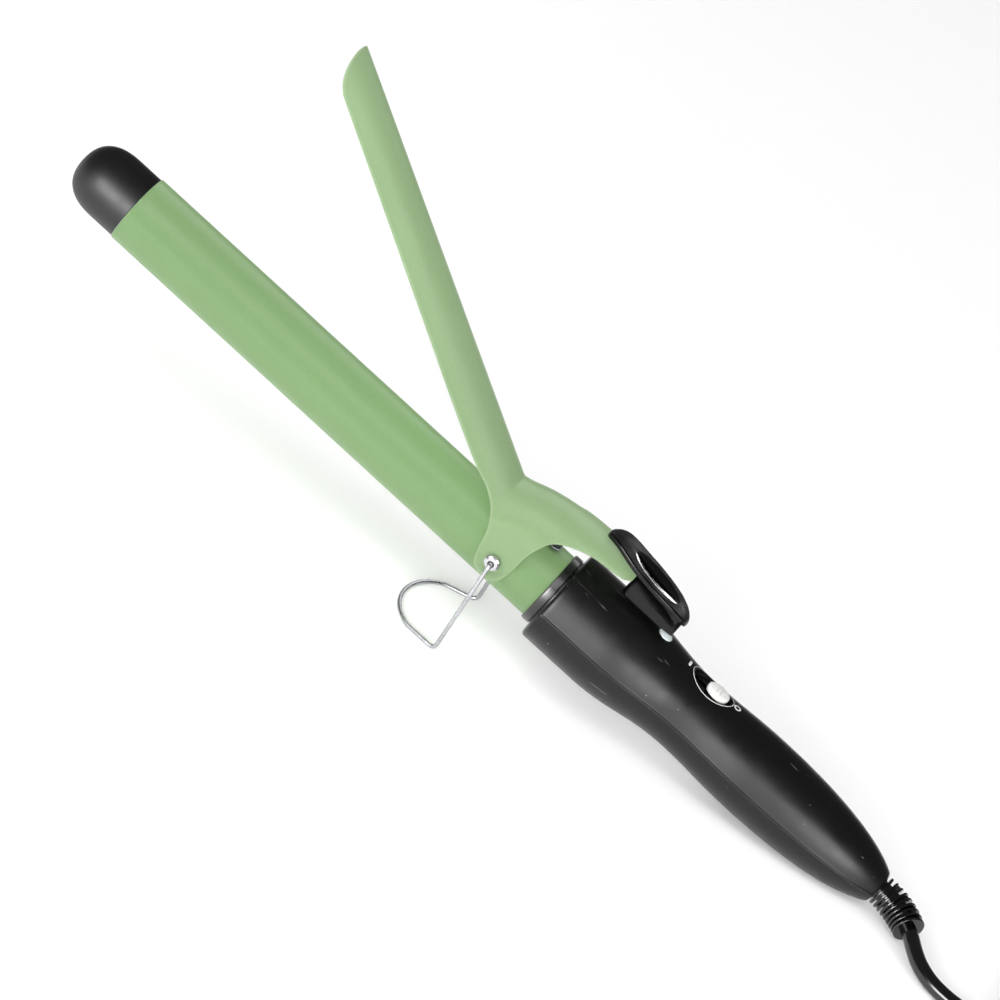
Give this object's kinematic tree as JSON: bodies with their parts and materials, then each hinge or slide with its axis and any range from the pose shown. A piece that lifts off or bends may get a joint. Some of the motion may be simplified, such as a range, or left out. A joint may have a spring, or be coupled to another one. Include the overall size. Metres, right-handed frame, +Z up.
{
  "type": "curling iron",
  "caption": "Curling iron with a round coated barrel, an open spring clamp with a thumb rest, a folding wire stand, a two-shell handle with a slide switch, and a tied mains cord.",
  "frame": {"origin": "on the table, under the middle of the iron without its cord: midway between the tip of the cap and the tail of the handle", "axes": "+X from the tip towards the handle and the cord, +Y away from the side that shows the stand's near leg, +Z up"},
  "size_m": [0.6085, 0.0511, 0.1545],
  "materials": {
    "barrel_coating": "satin sage green ceramic coating on the aluminium tube, bare metal at its cut end",
    "blue_wire": "blue conductor insulation",
    "brass_lugs": "brass",
    "bright_metal": "bright nickel-plated steel",
    "cap_plastic": "black heat-resistant plastic, polished",
    "clamp_coating": "satin sage green coating on sheet metal, a little lighter than the barrel",
    "cord_jacket": "black PVC cord jacket, smooth",
    "gloss_black": "black plastic, gloss",
    "handle_plastic": "black moulded plastic, satin with a fine grain and light scuffs",
    "heater_ceramic": "fired heater ceramic",
    "heater_metal": "bare extruded aluminium",
    "inner_black": "black nylon",
    "insulating_film": "amber polyimide film",
    "lamp_glass": "small neon lamp",
    "phenolic": "brown phenolic laminate",
    "pin_brass": "nickel-plated brass pins",
    "relief_rubber": "black flexible PVC, ribbed",
    "spring_steel": "blued spring steel strip",
    "stand_wire": "drawn steel wire, bright",
    "tie_fabric": "black hook-and-loop strap",
    "white_plastic": "white moulded plastic",
    "white_sleeve": "white glass-fibre sleeving"
  },
  "bodies": {
    "root": {"barrel_tube": "barrel_coating", "tip_cap": "cap_plastic", "heater_shoe_upper": "heater_metal", "heater_shoe_lower": "heater_metal", "ptc_plates": "heater_ceramic", "electrode_strips": "heater_metal", "heater_film": "insulating_film", "thermal_fuse": "bright_metal", "heater_leads": "white_sleeve", "barrel_collar": "gloss_black", "barrel_bush": "phenolic", "pivot_rivets": "bright_metal", "handle_upper_shell": "handle_plastic", "handle_lower_shell": "handle_plastic", "handle_screws": "bright_metal", "switch_body": "inner_black", "switch_terminals": "brass_lugs", "lamp_lens": "white_plastic", "indicator_lamp": "lamp_glass", "lamp_board": "phenolic", "crimp_caps": "white_sleeve", "supply_wires": "blue_wire", "cord_clamp": "inner_black", "cord_clamp_screws": "bright_metal", "cord_inner_end": "cord_jacket", "strain_relief": "relief_rubber", "cord_lead": "cord_jacket", "cord_hank": "cord_jacket", "cord_tail": "cord_jacket", "cord_tie": "tie_fabric", "plug_body": "cord_jacket", "plug_pins": "pin_brass"},
    "clamp": {"clamp_lever": "clamp_coating", "thumb_rest": "gloss_black", "thumb_rest_screw": "bright_metal", "clamp_spring": "spring_steel", "spring_rivet": "bright_metal"},
    "stand": {"wire_stand": "stand_wire"},
    "switch": {"switch_slider": "white_plastic"}
  },
  "joints": [
    {"name": "clamp_pivot", "type": "hinge", "parent": "root", "child": "clamp", "pos_m": [0.01073, 0, 0.0355], "axis": [0, 1, 0], "range_deg": [-30.4, 0], "stiffness_Nm_per_rad": 0.2, "springref_deg": -57.3, "deforming": ["clamp_spring"]},
    {"name": "stand_pivot", "type": "hinge", "parent": "root", "child": "stand", "pos_m": [0.01073, 0, 0.0355], "axis": [0, 1, 0], "range_deg": [-84, 0]},
    {"name": "switch_slide", "type": "slide", "parent": "root", "child": "switch", "axis": [-0.9865, 0, 0.1637], "range_m": [0, 0.005]}
  ]
}
